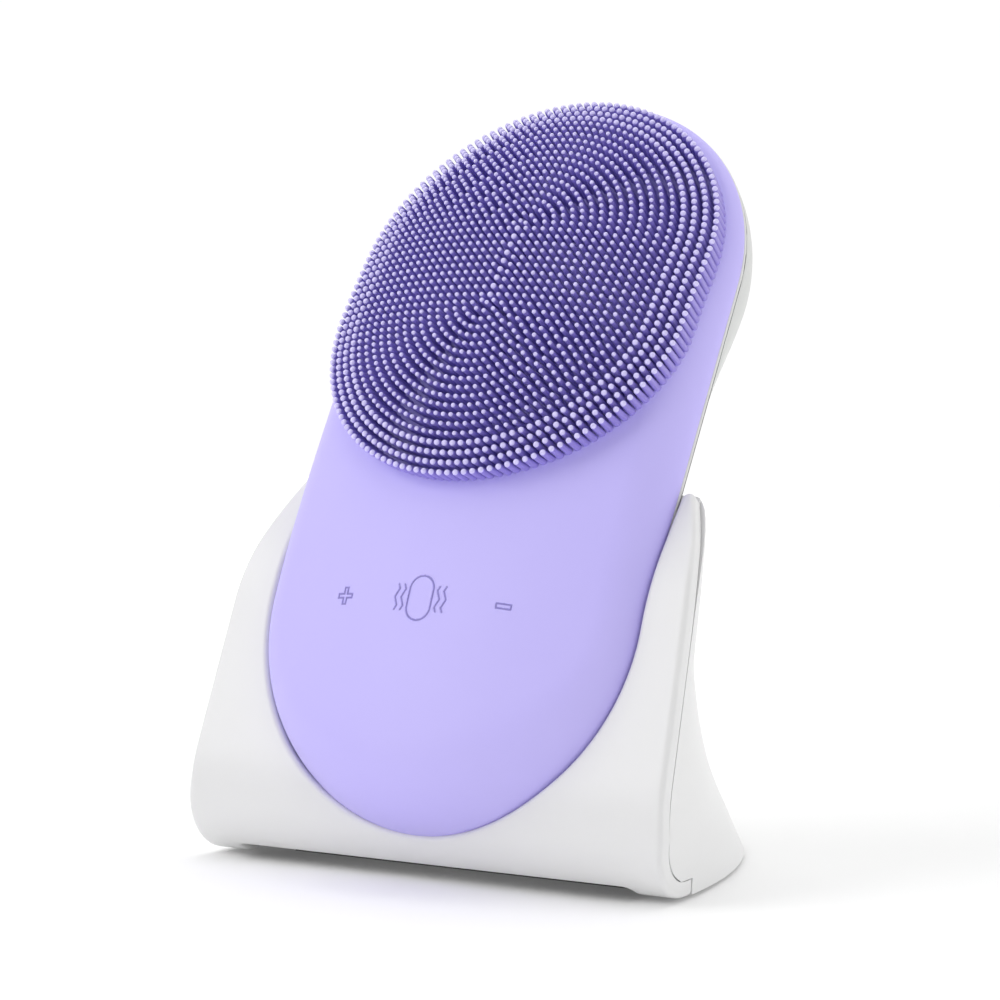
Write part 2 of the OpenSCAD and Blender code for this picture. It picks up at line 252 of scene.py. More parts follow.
M_STEEL = metal("steel", (0.58, 0.58, 0.60), (0.66, 0.66, 0.68), (0.22, 0.34))
M_BRASS = metal("brass", (0.70, 0.52, 0.24), (0.78, 0.60, 0.30), (0.25, 0.35))
M_COPPER = metal("copper", (0.72, 0.36, 0.20), (0.80, 0.44, 0.26), (0.3, 0.45))
M_FOIL = metal("battery_foil", (0.52, 0.54, 0.60), (0.60, 0.62, 0.68), (0.35, 0.5))

CAD_LOOK = {
    "front_frame": M_INNER, "trim_ring": M_TRIM, "main_board": M_PCB, "board_screws": M_STEEL,
    "plus_switch": M_DARK, "power_switch": M_DARK, "minus_switch": M_DARK, "plus_key": M_INNER,
    "power_key": M_INNER, "minus_key": M_INNER, "battery_cell": M_FOIL, "motor_can": M_STEEL,
    "motor_shaft": M_STEEL, "eccentric_weight": M_BRASS, "motor_clamp": M_INNER, "clamp_screws": M_STEEL,
    "receiver_coil": M_COPPER, "receiver_ferrite": M_DARK, "front_panel": M_WHITE, "cradle_tray": M_WHITE,
    "rear_shell": M_WHITE, "base_plate": M_BASE, "rubber_pad": M_FOOT, "ballast_plate": M_STEEL,
    "charging_coil": M_COPPER, "charging_ferrite": M_DARK, "stand_board": M_PCB, "usb_socket": M_STEEL,
    "base_screws": M_STEEL, "front_skin": M_SKIN, "back_shell": M_GREY,
}
for name, mat in CAD_LOOK.items():
    ob = nodes[name]
    ob.data.materials.clear()
    ob.data.materials.append(mat)


def finish_piece(ob, mat, body, slot, *replaced):
    ob.data.materials.clear()
    ob.data.materials.append(mat)
    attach(ob, body)
    if replaced:
        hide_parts(*replaced)
    return ob


# ------------------------------------------------------------------ icons and key pads
KEY_V = -54.6
KEYS = [("plus", -13.85), ("power", 0.0), ("minus", 13.85)]
PAD_R = 6.2


def seg_sdf(x, y, ax, ay, bx, by):
    px, py = x - ax, y - ay
    dx, dy = bx - ax, by - ay
    h = np.clip((px * dx + py * dy) / (dx * dx + dy * dy), 0, 1)
    return np.hypot(px - dx * h, py - dy * h)


def line_dist(kind, x, y):
    """Distance to the icon's line work, in mm, x across and y along the handset."""
    x = np.asarray(x, float)
    y = np.asarray(y, float)
    if kind == "plus":
        # outline of a plus sign
        a, t = 1.28, 0.30
        qx, qy = np.abs(x), np.abs(y)
        d1 = np.maximum(qx - a, qy - t)
        d2 = np.maximum(qx - t, qy - a)
        return np.abs(np.minimum(d1, d2))
    if kind == "minus":
        a, t = 1.18, 0.34
        qx, qy = np.abs(x) - a, np.abs(y) - t
        return np.abs(np.hypot(np.maximum(qx, 0), np.maximum(qy, 0)) + np.minimum(np.maximum(qx, qy), 0))
    r, h = 2.05, 1.35
    d = np.abs(seg_sdf(x, y, 0, -h, 0, h) - r)
    for k, (off, hh) in enumerate(((3.05, 1.9), (4.15, 1.9))):
        xx = np.abs(x) - off
        wave = 0.30 * np.abs(((y / 1.27) % 2.0) - 1.0) * 2.0 - 0.30
        slope = 0.60 / 1.27
        dd = np.abs(xx - wave * 1.0) / math.sqrt(1 + slope * slope)
        dd = np.where(np.abs(y) > hh, np.hypot(dd, np.abs(y) - hh), dd)
        d = np.minimum(d, dd)
    return d


def icon_depth(kind, x, y):
    w = 0.20
    d = line_dist(kind, x, y)
    t = np.clip(d / w, 0, 1)
    lip = 0.035 * np.exp(-((d - 0.30) / 0.10) ** 2)
    return -0.20 * (1 - t * t * (3 - 2 * t)) + lip


def normals_at(fn, u, v, e=0.02):
    gu = (fn(u + e, v) - fn(u - e, v)) / (2 * e)
    gv = (fn(u, v + e) - fn(u, v - e)) / (2 * e)
    return Hdir(np.c_[-gu, -gv, np.ones_like(gu)])


def pad_loop(u0, count=160):
    a = np.linspace(0, 2 * math.pi, count, endpoint=False)
    return np.c_[u0 + PAD_R * np.cos(a), KEY_V + PAD_R * np.sin(a)]


def build_pads():
    for kind, u0 in KEYS:
        count = 160
        rings = np.linspace(0, PAD_R, 84)[1:]
        a = np.linspace(0, 2 * math.pi, count, endpoint=False)
        x = np.r_[0.0, (rings[:, None] * np.cos(a)).ravel()]
        y = np.r_[0.0, (rings[:, None] * np.sin(a)).ravel()]

        def top(u, v):
            du, dv = u - u0, v - KEY_V
            return skin_at(u, v) + icon_depth(kind, du, dv)

        n = top(x + u0, y + KEY_V)
        pts = H(np.c_[x + u0, y + KEY_V, n])
        nor = normals_at(top, x + u0, y + KEY_V, 0.03)
        faces = [(0, 1 + j, 1 + (j + 1) % count) for j in range(count)]
        for i in range(len(rings) - 1):
            a0 = 1 + i * count
            for j in range(count):
                k = (j + 1) % count
                faces.append((a0 + j, a0 + count + j, a0 + count + k, a0 + k))
        # underside, so the pad is a closed sheet
        base = len(pts)
        n2 = skin_at(x + u0, y + KEY_V) - 1.2
        under = H(np.c_[x + u0, y + KEY_V, n2])
        faces += [tuple(base + i for i in f[::-1]) for f in faces]
        rim = 1 + (len(rings) - 1) * count
        for j in range(count):
            k = (j + 1) % count
            faces.append((rim + j, base + rim + j, base + rim + k, rim + k))
        allp = np.r_[pts, under]
        alln = np.r_[nor, -normals_at(skin_at, x + u0, y + KEY_V)]
        ob = make_object(f"{kind}_pad", allp, faces, normals=alln)
        finish_piece(ob, M_SKIN, "handset", "lilac_silicone")
        # faces inside the icon grooves take the darker silicone: painted shade in the grooves
        ob.data.materials.append(M_GROOVE_SHADE)
        cx = np.r_[x, x]
        cy = np.r_[y, y]
        for fi, f in enumerate(faces[:len(faces) // 2]):
            if max(f) < len(pts) and line_dist(kind, cx[list(f)].mean(), cy[list(f)].mean()) < 0.15:
                ob.data.polygons[fi].material_index = 1
        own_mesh(ob)


# ------------------------------------------------------------------ silicone front
def build_skin():
    outer = stadium_ring(R, 110, 60)
    pts2, fixed = [], []
    loops = []
    # boundary of the top sheet, then the holes round the key pads
    start = 0
    pts2.extend(outer)
    loops.append((0, len(outer)))
    for kind, u0 in KEYS:
        lp = pad_loop(u0)
        loops.append((len(pts2), len(lp)))
        pts2.extend(lp)
    edges = []
    for s, c in loops:
        edges += [(s + j, s + (j + 1) % c) for j in range(c)]
    # rings that follow the rolled edge
    for d in (0.04, 0.14, 0.32, 0.58, 0.92, 1.35, 1.9, 2.6, 3.4, 4.3, 5.3, 6.4, 7.6, 9.0):
        ring = stadium_ring(R - d, 110, 60)
        ok = np.ones(len(ring), bool)
        for kind, u0 in KEYS:
            ok &= np.hypot(ring[:, 0] - u0, ring[:, 1] - KEY_V) > PAD_R + 0.35
        pts2.extend(ring[ok])
    g = []
    step = 1.3
    for i, v in enumerate(np.arange(-90, 45, step * 0.866)):
        us = np.arange(-R, R, step) + (step / 2 if i % 2 else 0)
        g.append(np.c_[us, np.full(len(us), v)])
    g = np.concatenate(g)
    keep = seg_dist(g[:, 0], g[:, 1]) < R - 9.9
    for kind, u0 in KEYS:
        keep &= np.hypot(g[:, 0] - u0, g[:, 1] - KEY_V) > PAD_R + 0.5
    pts2.extend(g[keep])
    P = np.array(pts2)
    co, _, fs, orig, _, _ = delaunay_2d_cdt([Vector(p) for p in P], edges, [], 1, 1e-7)
    C = np.array([tuple(c) for c in co])
    tri = []
    for f in fs:
        m = C[list(f)].mean(0)
        if seg_dist(m[0], m[1]) > R - 1e-4:
            continue
        if any(math.hypot(m[0] - u0, m[1] - KEY_V) < PAD_R - 0.004 for _, u0 in KEYS):
            continue
        tri.append(tuple(f))
    # where the boundary points went
    where = {}
    for i, o in enumerate(orig):
        for k in o:
            where[k] = i
    u, v = C[:, 0], C[:, 1]
    top = skin_at(u, v)
    pts = H(np.c_[u, v, top])
    nor = normals_at(skin_at, u, v)
    # points on the outer edge face sideways
    ring_i = [where[j] for j in range(len(outer))]
    for i in ring_i:
        dv = C[i, 1] - np.clip(C[i, 1], V2, V1)
        nor[i] = Hdir([[C[i, 0], dv, 0.0]])[0]
    verts = [pts]
    norms = [nor]
    faces = list(tri)
    # side wall down to the parting line, with a small turned-in lip
    cur = ring_i
    base = len(pts)
    outer_c = C[ring_i]
    side = np.array([nor[i] for i in ring_i])
    edge_n = top[ring_i]
    pn = part_at(outer_c[:, 1])
    mid = outer_c - np.c_[np.zeros(len(outer_c)), np.clip(outer_c[:, 1], V2, V1)]
    mid = mid / np.linalg.norm(mid, axis=1)[:, None]
    for frac, inset, tilt in ((0.5, 0.0, 0.0), (0.93, 0.0, 0.0), (1.0, 0.12, -0.7), (1.0, 0.45, -1.0)):
        n = edge_n + (pn + 0.05 - edge_n) * frac
        q = outer_c - mid * inset
        nn = side * (1 - abs(tilt)) + Hdir(np.tile([0, 0, -1.0], (len(side), 1))) * abs(tilt)
        verts.append(H(np.c_[q, n]))
        norms.append(nn / np.linalg.norm(nn, axis=1)[:, None])
        idx = list(range(base, base + len(outer_c)))
        base += len(outer_c)
        faces += ring_faces(cur, idx, flip=True)
        cur = idx
    # inside of the cover
    t = 1.2
    n = pn + 0.05
    q = outer_c - mid * t
    verts.append(H(np.c_[q, n]))
    norms.append(Hdir(np.tile([0, 0, -1.0], (len(side), 1))))
    idx = list(range(base, base + len(outer_c)))
    base += len(outer_c)
    faces += ring_faces(cur, idx, flip=True)
    cur = idx
    s = (R - t) / R
    ins = C.copy()
    cen = np.c_[np.zeros(len(C)), np.clip(C[:, 1], V2, V1)]
    near = seg_dist(u, v) > R - 9.0
    ins[near] = cen[near] + (C - cen)[near] * ((np.minimum(seg_dist(u, v), R) * 1.0 - t * np.clip((seg_dist(u, v) - (R - 9.0)) / 9.0, 0, 1)) / np.maximum(seg_dist(u, v), 1e-6))[near][:, None]
    inner_n = np.maximum(skin_at(u, v) - 1.2, part_at(v) + 0.06)
    for k, j in enumerate(ring_i):
        inner_n[j] = max(edge_n[k] - 0.3, pn[k] + 0.06)
    verts.append(H(np.c_[ins, inner_n]))
    norms.append(-nor)
    shift = base
    faces += [tuple(shift + i for i in f[::-1]) for f in tri]
    faces += ring_faces(cur, [shift + i for i in ring_i], flip=True)
    # close the rims of the pad holes
    for (s0, c0) in loops[1:]:
        hole = [where[s0 + j] for j in range(c0)]
        faces += ring_faces(hole, [shift + i for i in hole], flip=False)
    ob = make_object("silicone_cover", np.concatenate(verts), faces, normals=np.concatenate(norms))
    return finish_piece(ob, M_SKIN, "handset", "lilac_silicone", "front_skin")


# ------------------------------------------------------------------ bristles
ROW = 1.5
HALF = 4.28 * ROW
TIP_L, TIP_W, TIP_A = 170.0, 84.0, math.radians(7.9)


def tip_place(p, q, ring, end):
    """Tip of the bristle laid out p across and q along, on the domed front of the field."""
    al = TIP_A + q / TIP_L
    rho = TIP_L - TIP_W + TIP_W * math.cos(p / TIP_W)
    u = p * (1.0 + 0.012 * (p > 0) * (ring / 20.0) ** 4)
    v = rho * math.sin(al) - TIP_L * math.sin(TIP_A)
    n = rho * math.cos(al) - TIP_L * math.cos(TIP_A)
    n -= (1.0 + 1.4 * max(end, 0.0) ** 2 + 0.3 * min(end, 0.0) ** 2) * (ring / 20.0) ** 4
    return np.array([u, v, n])


def bristle_layout():
    """Tips of every bristle: a middle row, then rings that grow by one row each."""
    out = []
    for k in range(9):
        out.append((0.0, -HALF + 2 * HALF * k / 8, 0, 0.0))
    for i in range(1, 21):
        r = i * ROW
        pitch = 0.935 * ROW
        n_arc = max(2, 2 * int(round(math.pi * r / pitch / 2)))
        n_side = max(2, int(round(2 * HALF / pitch)))
        for k in range(n_arc + 1):
            a = math.pi * k / n_arc
            out.append((r * math.cos(a), HALF + r * math.sin(a), i, math.sin(a)))
            out.append((-r * math.cos(a), -HALF - r * math.sin(a), i, -math.sin(a)))
        for k in range(1, n_side):
            v = -HALF + 2 * HALF * k / n_side
            out.append((r, v, i, 0.0))
            out.append((-r, v, i, 0.0))
    return out


def build_bristles():
    rng = np.random.default_rng(7)
    sides = 12
    ang = np.linspace(0, 2 * math.pi, sides, endpoint=False)
    verts, norms, faces, tops = [], [], [], []
    base = 0
    for p, q, ring, end in bristle_layout():
        thick = ring == 0 or ring >= 17
        r_tip = 0.47 if thick else 0.36
        r_base = r_tip * 1.32
        tip = tip_place(p, q, ring, end)
        axis = np.array([0.0053 * tip[0] + rng.normal(0, 0.008), 0.0066 * tip[1] + rng.normal(0, 0.008), 1.0])
        axis /= np.linalg.norm(axis)
        ln = 5.4
        for _ in range(4):
            foot = tip - axis * ln
            ln += (foot[2] - float(skin_at(foot[0], foot[1]))) / axis[2]
        ln += 0.35
        foot = tip - axis * ln
        e1 = np.array([1.0, 0.0, -axis[0] / axis[2]])
        e1 /= np.linalg.norm(e1)
        e2 = np.cross(axis, e1)
        prof = [(0.0, r_base), (0.5, r_base * 0.985), (ln * 0.5, (r_base + r_tip) / 2), (ln - r_tip, r_tip)]
        nz = [0.04] * 4
        for k in range(1, 5):
            t = math.radians(90 * k / 5)
            prof.append((ln - r_tip + r_tip * math.sin(t), r_tip * math.cos(t)))
            nz.append(math.sin(t))
        ring0 = base
        for (h, r), z in zip(prof, nz):
            around = np.outer(np.cos(ang), e1) + np.outer(np.sin(ang), e2)
            verts.append(foot + axis * h + around * r)
            c = math.sqrt(max(1 - z * z, 0))
            norms.append(around * c + axis * z)
            base += sides
        for k in range(len(prof) - 1):
            a0 = ring0 + k * sides
            for j in range(sides):
                jj = (j + 1) % sides
                faces.append((a0 + j, a0 + jj, a0 + sides + jj, a0 + sides + j))
                tops.append(1 if k >= 3 else 0)
        verts.append(tip[None])
        norms.append(axis[None])
        last = ring0 + (len(prof) - 1) * sides
        for j in range(sides):
            faces.append((last + j, last + (j + 1) % sides, base))
            tops.append(1)
        faces.append(tuple(ring0 + j for j in range(sides - 1, -1, -1)))
        tops.append(0)
        base += 1
    P = H(np.concatenate(verts))
    N = Hdir(np.concatenate(norms))
    ob = make_object("bristles", P, faces, normals=N)
    # shafts take the darker silicone, painted shade between the bristles
    finish_piece(ob, M_BRISTLE_SHADE, "handset", "lilac_silicone")
    # the rounded tips take the lighter silicone, a painted highlight
    ob.data.materials.append(M_TIP_HIGHLIGHT)
    for poly, top in zip(ob.data.polygons, tops):
        poly.material_index = top
    return ob


# ------------------------------------------------------------------ trim ring and back shell
def build_trim():
    outline = stadium_ring(R, 120, 60)
    mid = outline - np.c_[np.zeros(len(outline)), np.clip(outline[:, 1], V2, V1)]
    mid = mid / np.linalg.norm(mid, axis=1)[:, None]
    pn = part_at(outline[:, 1])
    prof = []
    for k in range(9):
        a = math.radians(-90 + 180 * k / 8)
        prof.append((-0.30 + 0.38 * math.cos(a), -0.45 - 0.40 * math.sin(a)))
    prof += [(-2.0, -0.85), (-2.0, -0.05)]
    verts, faces = [], []
    m = len(outline)
    for o, h in prof:
        verts.append(H(np.c_[outline + mid * o, pn + h]))
    k = len(prof)
    for i in range(k):
        a = [i * m + j for j in range(m)]
        b = [((i + 1) % k) * m + j for j in range(m)]
        faces += ring_faces(a, b, flip=True)
    ob = make_object("trim_line", np.concatenate(verts), faces)
    return finish_piece(ob, M_TRIM, "handset", "trim_white", "trim_ring")


def smooth(x):
    x = np.clip(x, 0, 1)
    return x * x * (3 - 2 * x)


def back_depth(u, v):
    """Depth of the back shell behind the parting surface."""
    v = np.asarray(v, float)
    flat = PART_N - 7.0 - HEEL_R + np.sqrt(HEEL_R**2 - np.minimum(v - BEND_V, 0.0) ** 2)
    handle = part_at(v) - flat - np.asarray(u) ** 2 / (2 * BACK_W)
    fr = np.clip(seg_dist(u, v) / R, 0, 1)
    edge = np.sqrt(np.maximum(1 - fr**14, 0))
    head = smooth((v + 24.5 + 5.5 * np.exp(-(np.asarray(u) / 16.0) ** 2)) / 32.0)
    dome = np.sqrt(np.maximum(1 - fr**4.0, 0))
    return handle * edge * (1 - head) + head * 16.3 * dome


def build_back():
    fr = np.r_[0.9999, 0.998, 0.994, 0.988, 0.98, 0.97, 0.955, 0.935, 0.91, 0.88, 0.84, 0.79, 0.73, 0.66, 0.58, 0.49, 0.39, 0.28, 0.16, 0.05]
    rows = []
    m = 2 * 110 + 2 * 70
    first = stadium_ring(R, 110, 70)
    verts = [np.c_[first, part_at(first[:, 1]) - 0.9]]
    for f in fr:
        ring = stadium_ring(R * f, 110, 70)
        d = back_depth(ring[:, 0], ring[:, 1])
        verts.append(np.c_[ring, part_at(ring[:, 1]) - np.maximum(d, 0.9 + 0.0)])
    # the middle line closes the rings
    ring = stadium_ring(0.0, 110, 70)
    verts.append(np.c_[ring, part_at(ring[:, 1]) - back_depth(ring[:, 0], ring[:, 1])])
    # inside, two millimetres in
    k = len(verts)
    inner = []
    for f, p in zip([0.94, 0.9, 0.8, 0.6, 0.3, 0.0], range(6)):
        ring = stadium_ring(R * f, 110, 70)
        d = back_depth(ring[:, 0], ring[:, 1])
        if p == 0:
            inner.append(np.c_[ring, part_at(ring[:, 1]) - 0.9])
        inner.append(np.c_[ring, part_at(ring[:, 1]) - np.maximum(d - 1.8, 0.95)])
    loops = [v for v in verts] + inner[::-1]
    faces = []
    for i in range(len(loops)):
        if i == k - 1:
            continue
        a = [i * m + j for j in range(m)]
        b = [((i + 1) % len(loops)) * m + j for j in range(m)]
        faces += ring_faces(a, b, flip=True)
    P = H(np.concatenate(loops))
    ob = make_object("grey_back", P, faces)
    bm = bmesh.new()
    bm.from_mesh(ob.data)
    bmesh.ops.remove_doubles(bm, verts=bm.verts, dist=1e-7)
    bmesh.ops.dissolve_degenerate(bm, edges=bm.edges, dist=1e-7)
    rear = [vt for vt in bm.verts if -(vt.co.y / MM - FIELD[1]) * CL + (vt.co.z / MM - FIELD[2]) * SL < PART_N - 2.0]
    for _ in range(5):
        bmesh.ops.smooth_vert(bm, verts=rear, factor=0.5, use_axis_x=True, use_axis_y=True, use_axis_z=True)
    bmesh.ops.recalc_face_normals(bm, faces=bm.faces)
    bm.to_mesh(ob.data)
    bm.free()
    ob.data.shade_smooth()
    return finish_piece(ob, M_GREY, "handset", "shell_grey", "back_shell")


# ------------------------------------------------------------------ stand
PANEL_T, STAND_W, PANEL_LEAN = 2.4, 41.6, 21.0
POCKET_R = R + 0.30


def half_w(z):
    z = np.asarray(z, float)
    return STAND_W - 0.06 * np.abs(z - 10) - 7.2 * np.maximum(0, (z - 38) / 24.4) ** 2.4


def face_path():
    """Front face of the panel as (length, y, z, heading)."""
    out = [(0.0, -23.0, 0.6, math.radians(-90))]
    for straight, radius, turn in ((2.8, 0, 0), (0, 8.2, 90), (0, 26, 21), (23, 0, 0), (0, 36, 19), (19, 0, 0)):
        l0, y0, z0, h0 = out[-1]
        if turn:
            n = max(8, int(abs(turn) * radius / 57.3 / 0.25))
            for i in range(1, n + 1):
                h = h0 + math.radians(turn) * i / n
                out.append((l0 + radius * (h - h0), y0 + radius * (math.cos(h0) - math.cos(h)),
                            z0 + radius * (math.sin(h) - math.sin(h0)), h))
        else:
            for i in range(1, 40):
                d = straight * i / 39
                out.append((l0 + d, y0 + d * math.sin(h0), z0 + d * math.cos(h0), h0))
    return np.array(out)


PATH = face_path()


def on_face(l, k):
    return np.interp(l, PATH[:, 0], PATH[:, k])


def panel_map(x, l, depth):
    y, z, h = on_face(l, 1), on_face(l, 2), on_face(l, 3)
    return np.c_[x, y + depth * np.cos(h), z - depth * np.sin(h)]


def pocket_half(l):
    v = (on_face(l, 1) - FIELD[1]) * SL + (on_face(l, 2) - FIELD[2]) * CL
    dv = np.minimum(v - V2, 0.0)
    return np.sqrt(np.maximum(POCKET_R**2 - dv**2, 0.0)) * (np.abs(dv) <= POCKET_R)


def inside(P, poly):
    c = np.zeros(len(P), bool)
    x, y = P[:, 0], P[:, 1]
    for (x1, y1), (x2, y2) in zip(poly, np.roll(poly, -1, axis=0)):
        if y1 == y2:
            continue
        hit = ((y1 > y) != (y2 > y)) & (x < (x2 - x1) * (y - y1) / (y2 - y1) + x1)
        c ^= hit
    return c


def edge_dist(P, poly):
    best = np.full(len(P), 1e9)
    for a, b in zip(poly, np.roll(poly, -1, axis=0)):
        best = np.minimum(best, seg_sdf(P[:, 0], P[:, 1], a[0], a[1], b[0], b[1]))
    return best


def resample(poly, step):
    out = []
    for a, b in zip(poly, np.roll(poly, -1, axis=0)):
        n = max(1, int(round(np.hypot(*(b - a)) / step)))
        for i in range(n):
            out.append(a + (b - a) * i / n)
    return np.array(out)


def build_panel():
    ls = PATH[:, 0]
    zs = PATH[:, 2]
    grid = np.linspace(0, ls[-1], 1600)
    zz = np.interp(grid, ls, zs)
    w = half_w(zz)
    p = pocket_half(grid)
    low_l = grid[np.argmax((p > 0) & (zz > 5))]
    cap_r = 1.15
    top_i = np.argmax((w - p < 2 * cap_r) & (zz > 40))
    l_top = grid[top_i]
    right = [(0.0, 7.67), (33.4, 7.67), (33.9, 7.5), (34.2, 7.1), (34.5, 0.6), (35.0, 0.1), (35.6, 0.0)]
    wb = float(half_w(0.6))
    right += [(wb - 1.2, 0.0), (wb - 0.35, 0.35), (wb, 1.2)]
    for l in np.arange(2.4, l_top, 1.1):
        right.append((float(half_w(np.interp(l, ls, zs))), l))
    cx = float(w[top_i] + p[top_i]) / 2
    for k in range(0, 11):
        a = math.pi * k / 10
        right.append((cx + cap_r * math.cos(a), l_top + cap_r * math.sin(a)))
    for l in np.r_[np.arange(l_top - 1.0, low_l + 6.0, -1.0), np.linspace(low_l + 5.6, low_l, 40)]:
        right.append((float(np.interp(l, grid, p)), l))
    right = np.array(right)
    right = right[:-1]
    left = right[1:][::-1] * [-1, 1]
    poly = np.r_[right, [[0.0, low_l]], left]
    poly = resample(poly, 1.0)
    # counter-clockwise
    area2 = np.sum(poly[:, 0] * np.roll(poly[:, 1], -1) - np.roll(poly[:, 0], -1) * poly[:, 1])
    if area2 < 0:
        poly = poly[::-1]
    tang = np.roll(poly, -1, axis=0) - np.roll(poly, 1, axis=0)
    tang /= np.linalg.norm(tang, axis=1)[:, None]
    inward = np.c_[-tang[:, 1], tang[:, 0]]
    pts = [poly]
    er = 0.8
    for d in (0.07, 0.2, 0.38, 0.58, er, 1.15):
        ring = poly + inward * d
        keep = edge_dist(ring, poly) > d * 0.93
        pts.append(ring[keep & inside(ring, poly)])
    gx, gl = np.meshgrid(np.arange(-42, 42, 1.6), np.arange(0, ls[-1], 0.8))
    g = np.c_[gx.ravel(), gl.ravel()]
    g = g[inside(g, poly)]
    g = g[edge_dist(g, poly) > 1.5]
    pts.append(g)
    allp = np.concatenate(pts)
    m = len(poly)
    co, _, fs, orig, _, _ = delaunay_2d_cdt([Vector(q) for q in allp], [(j, (j + 1) % m) for j in range(m)], [], 1, 1e-6)
    C = np.array([tuple(c) for c in co])
    cen = np.array([C[list(f)].mean(0) for f in fs])
    ok = inside(cen, poly)
    tri = [tuple(f) for f, k in zip(fs, ok) if k]
    where = {}
    for i, o in enumerate(orig):
        for k in o:
            where[k] = i
    d = edge_dist(C, poly)
    t = np.clip(er - d, 0, er)
    front = panel_map(C[:, 0], C[:, 1], er - np.sqrt(er**2 - t**2))
    back = panel_map(C[:, 0], C[:, 1], np.full(len(C), PANEL_T))
    rim = [where[j] for j in range(m)]
    k = len(C)
    mid = panel_map(poly[:, 0], poly[:, 1], np.full(m, PANEL_T - 0.25))
    verts = np.r_[front, back, mid]
    faces = list(tri) + [tuple(k + i for i in f[::-1]) for f in tri]
    a = rim
    b = [2 * k + j for j in range(m)]
    c = [k + i for i in rim]
    faces += ring_faces(a, b, flip=True) + ring_faces(b, c, flip=True)
    ob = make_object("front_plate", verts, faces)
    bm = bmesh.new()
    bm.from_mesh(ob.data)
    bmesh.ops.recalc_face_normals(bm, faces=bm.faces)
    for e in bm.edges:
        if len(e.link_faces) == 2 and e.calc_face_angle(0.0) > math.radians(42):
            e.smooth = False
    bm.to_mesh(ob.data)
    bm.free()
    return finish_piece(ob, M_WHITE, "stand", "stand_white", "front_panel")


def face_y(z):
    z = np.asarray(z, float)
    t21 = math.tan(math.radians(21))
    return np.where(z < 9, -34.0, np.where(z < 18.3, -8 - np.sqrt(np.maximum(676 - (z - 9) ** 2, 0)),
           np.where(z < 39.8, -32.27 + (z - 18.3) * t21,
           np.where(z < 50, -24.0 + 36 * math.cos(math.radians(21)) - np.sqrt(np.maximum(1296 - (z - 39.8 + 36 * math.sin(math.radians(21))) ** 2, 0)),
                    -18 + (z - 50) * math.tan(math.radians(40))))))


def back_y(z):
    z = np.asarray(z, float)
    return np.where(z < 34, 36 - 1.24 * z - 1.04 * np.sin(np.pi * z / 34) ** 2, -6.16 + 0.012 * (z - 34) ** 2 + 0.12 * (z - 34))


def smooth_copy(node, name, mat, body, slot, angle=30.0, snap=None, cut=None):
    """A finer copy of a node's surface, with soft shading."""
    ob = bpy.data.objects.new(name, nodes[node].data.copy())
    scene.collection.objects.link(ob)
    ob.matrix_world = nodes[node].matrix_world.copy()
    bm = bmesh.new()
    bm.from_mesh(ob.data)
    bmesh.ops.remove_doubles(bm, verts=bm.verts, dist=1e-7)
    if cut:
        for _ in range(3):
            long = [e for e in bm.edges if e.calc_length() > cut * MM]
            if long:
                bmesh.ops.subdivide_edges(bm, edges=long, cuts=1)
                bmesh.ops.triangulate(bm, faces=bm.faces)
    if snap:
        snap(bm)
    bmesh.ops.recalc_face_normals(bm, faces=bm.faces)
    for f in bm.faces:
        f.smooth = True
    for e in bm.edges:
        e.smooth = not (len(e.link_faces) == 2 and e.calc_face_angle(0.0) > math.radians(angle))
    bm.to_mesh(ob.data)
    bm.free()
    return finish_piece(ob, mat, body, slot, node)


def round_top(x, y, z):
    """Bring the sawn-off top of the cradle down to a rounded one."""
    v = (y - FIELD[1]) * SL + (z - FIELD[2]) * CL
    n = -(y - FIELD[1]) * CL + (z - FIELD[2]) * SL
    if v <= -34.0:
        return x, y, z
    t = min((v + 34.0) / 6.5, 1.0)
    v2 = -34.0 + 4.6 * math.sin(t * math.pi / 2)
    x2 = math.copysign(abs(x) - 1.9 * (1 - math.sqrt(max(1 - t * t, 0.0))) * max(0.0, min(1.0, (abs(x) - 32.7) / 2.0)), x)
    q = H([[x2, v2, n]])[0]
    return q[0], q[1], q[2]


def snap_tray(bm):
    for vt in bm.verts:
        q = round_top(vt.co.x / MM, vt.co.y / MM, vt.co.z / MM)
        vt.co = Vector(q) * MM


def snap_frame(bm):
    """Keep the carrier the same distance under the softly rounded cover."""
    for vt in bm.verts:
        x, y, z = vt.co.x / MM, vt.co.y / MM, vt.co.z / MM
        v = (y - FIELD[1]) * SL + (z - FIELD[2]) * CL
        n = -(y - FIELD[1]) * CL + (z - FIELD[2]) * SL
        dv = v - min(max(v, V2), V1)
        d = math.hypot(x, dv)
        if d > R - 2.1:
            k = (R - 2.1) / d
            x, v = x * k, v - dv + dv * k
        top = float(skin_at(x, v)) - 1.7
        if n > top:
            n = max(top, float(part_at(v)) - 0.4)
        vt.co = Vector(H([[x, v, n]])[0]) * MM


def snap_shell(bm):
    for vt in bm.verts:
        x, y, z = vt.co.x / MM, vt.co.y / MM, vt.co.z / MM
        if z > 59.5:
            continue
        w = float(half_w(z)) - 0.1
        y0 = float(face_y(z)) + PANEL_T / math.cos(math.radians(21)) + 0.05
        b = float(back_y(z)) - y0
        if y < y0 + 0.02 or b <= 0:
            continue
        rho = math.hypot(x / w, (y - y0) / b)
        if abs(rho - 1) < 0.022:
            x, y = x / rho, y0 + (y - y0) / rho
        vt.co.x, vt.co.y = x * MM, y * MM
    # a fine parting line behind the panel's edge
    for vt in bm.verts:
        x, y, z = vt.co.x / MM, vt.co.y / MM, vt.co.z / MM
        gap = np.hypot(PATH[:, 1] - y, PATH[:, 2] - z)
        i = int(np.argmin(gap))
        if PANEL_T - 0.1 < gap[i] < PANEL_T + 0.3 and 3.3 < z < 58 and abs(x) > float(half_w(z)) - 2.6:
            vt.co.y += (y - PATH[i, 1]) / gap[i] * 0.25 * MM
            vt.co.z += (z - PATH[i, 2]) / gap[i] * 0.25 * MM
    snap_tray(bm)


